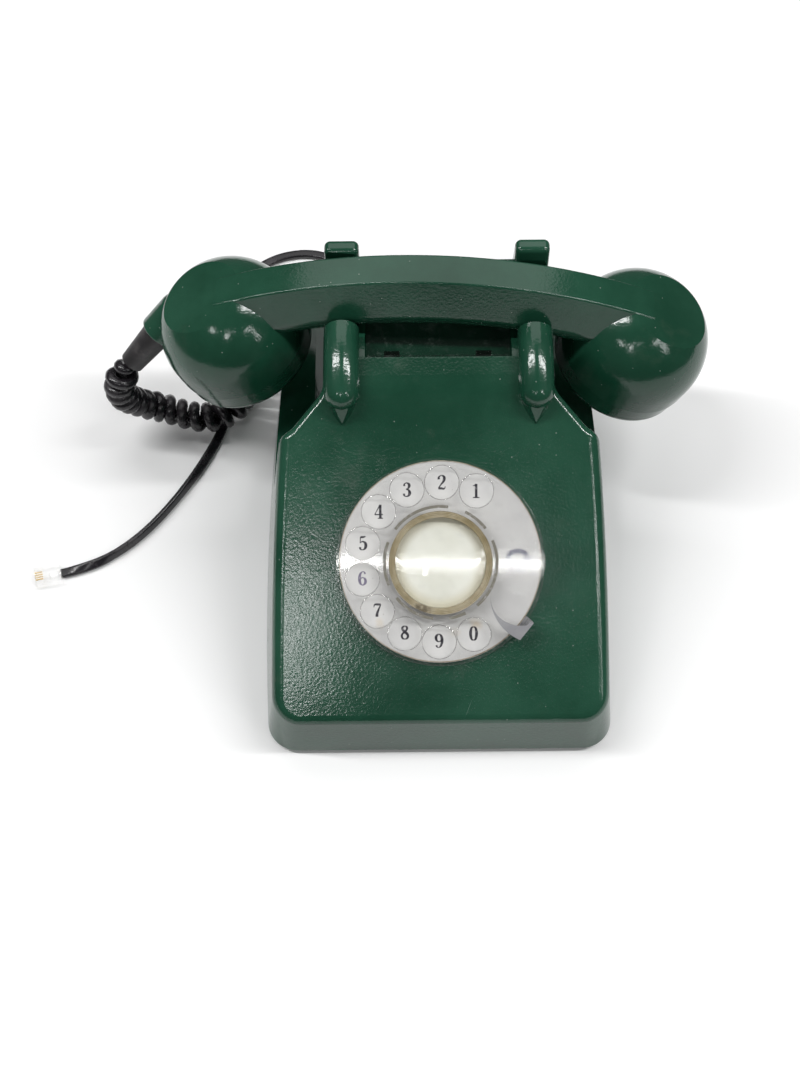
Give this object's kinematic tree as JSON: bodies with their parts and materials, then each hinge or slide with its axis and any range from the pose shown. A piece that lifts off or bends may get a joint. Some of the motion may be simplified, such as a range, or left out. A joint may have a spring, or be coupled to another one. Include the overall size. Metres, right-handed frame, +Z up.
{
  "type": "rotary telephone",
  "caption": "Desk telephone with a rotary dial, a lift-off handset on a sprung cradle, a bell, a curly handset cord and a short line cord.",
  "frame": {"origin": "on the table, under the middle of the telephone without its cords", "axes": "+X to the user's right, along the handset; +Y to the back; +Z up"},
  "size_m": [0.3127, 0.278, 0.134],
  "materials": {
    "green_plastic": "gloss",
    "clear_plastic": "gloss",
    "opal_plastic": "gloss",
    "label_paper": "matte",
    "black_rubber": "satin",
    "black_cord": "gloss",
    "plated_steel": "satin",
    "stop_steel": "satin",
    "painted_base": "satin",
    "brass": "satin",
    "gong_metal": "satin",
    "contact_metal": "satin",
    "insulator": "matte",
    "winding": "satin",
    "iron": "satin",
    "aluminium_can": "satin",
    "board": "matte"
  },
  "bodies": {
    "base": {"case_shell": "green_plastic", "base_plate": "painted_base", "rubber_feet": "black_rubber", "case_screws": "plated_steel", "number_plate": "opal_plastic", "finger_stop": "stop_steel", "dial_front_plate": "plated_steel", "dial_rear_plate": "plated_steel", "dial_pillars": "plated_steel", "return_spring": "plated_steel", "governor_frame": "brass", "pulse_contacts": "contact_metal", "off_normal_contacts": "contact_metal", "dial_bracket": "plated_steel", "switch_bracket": "plated_steel", "switch_springs": "contact_metal", "switch_return_spring": "plated_steel", "left_gong": "gong_metal", "right_gong": "gong_metal", "gong_posts": "plated_steel", "ringer_frame": "plated_steel", "left_ringer_coil": "winding", "right_ringer_coil": "winding", "ringer_cores": "iron", "ringer_magnet": "iron", "circuit_board": "board", "board_spacers": "plated_steel", "terminal_strip": "insulator", "terminal_screws": "brass", "induction_coil_core": "iron", "induction_winding": "winding", "capacitor": "aluminium_can", "handset_cord": "black_cord", "line_cord": "black_cord", "handset_cord_gland": "black_rubber", "line_cord_gland": "black_rubber", "line_plug": "clear_plastic", "plug_contacts": "brass"},
    "dial_wheel": {"finger_wheel": "clear_plastic", "label_card": "label_paper", "label_cover": "clear_plastic", "label_ring": "plated_steel", "main_shaft": "plated_steel", "main_gear": "brass"},
    "pulse_pinion": {"pinion_shaft": "brass"},
    "governor": {"governor_shaft": "plated_steel"},
    "cradle_plunger": {"cradle_bar": "clear_plastic"},
    "gravity_lever": {"switch_lever": "plated_steel"},
    "hammer": {"bell_hammer": "plated_steel"},
    "handset": {"handset_shell": "green_plastic", "ear_cap": "green_plastic", "mouth_cap": "green_plastic", "receiver_capsule": "aluminium_can", "transmitter_capsule": "aluminium_can", "cord_boot": "black_rubber", "cord_collar": "green_plastic"}
  },
  "joints": [
    {"name": "handset_lift", "type": "slide", "parent": "base", "child": "handset", "axis": [0, 0, 1], "range_m": [0, 0.12]},
    {"name": "cradle_bar_rise", "type": "slide", "parent": "base", "child": "cradle_plunger", "axis": [0, 0, 1], "range_m": [0, 0.005]},
    {"name": "switch_lever_tilt", "type": "hinge", "parent": "base", "child": "gravity_lever", "pos_m": [0, 0.054, 0.082], "axis": [-1, 0, 0], "range_deg": [0, 16.01], "deforming": ["switch_return_spring"]},
    {"name": "dial_turn", "type": "hinge", "parent": "base", "child": "dial_wheel", "pos_m": [0, -0.04656, 0.0666], "axis": [0, -0.5, 0.866], "range_deg": [-322, 0], "stiffness_Nm_per_rad": 0.006, "springref_deg": 68.75},
    {"name": "pulse_pinion_turn", "type": "hinge", "parent": "base", "child": "pulse_pinion", "pos_m": [0, -0.02048, 0.08166], "axis": [0, -0.5, 0.866], "range_deg": [0, 1288.01]},
    {"name": "governor_turn", "type": "hinge", "parent": "base", "child": "governor", "pos_m": [0.014, -0.01412, 0.05785], "axis": [1, 0, 0], "range_deg": [-9660.1, 0]},
    {"name": "hammer_swing", "type": "hinge", "parent": "base", "child": "hammer", "pos_m": [0, 0.048, 0.022], "axis": [0, 0, 1], "range_deg": [-3.2, 3.2]}
  ],
  "couplings": [
    {"joint": "cradle_bar_rise", "follows": "handset_lift", "ratio": 0.041667},
    {"joint": "switch_lever_tilt", "follows": "handset_lift", "rad_per_m": 2.3271},
    {"joint": "pulse_pinion_turn", "follows": "dial_turn", "ratio": -4},
    {"joint": "governor_turn", "follows": "dial_turn", "ratio": 30}
  ]
}
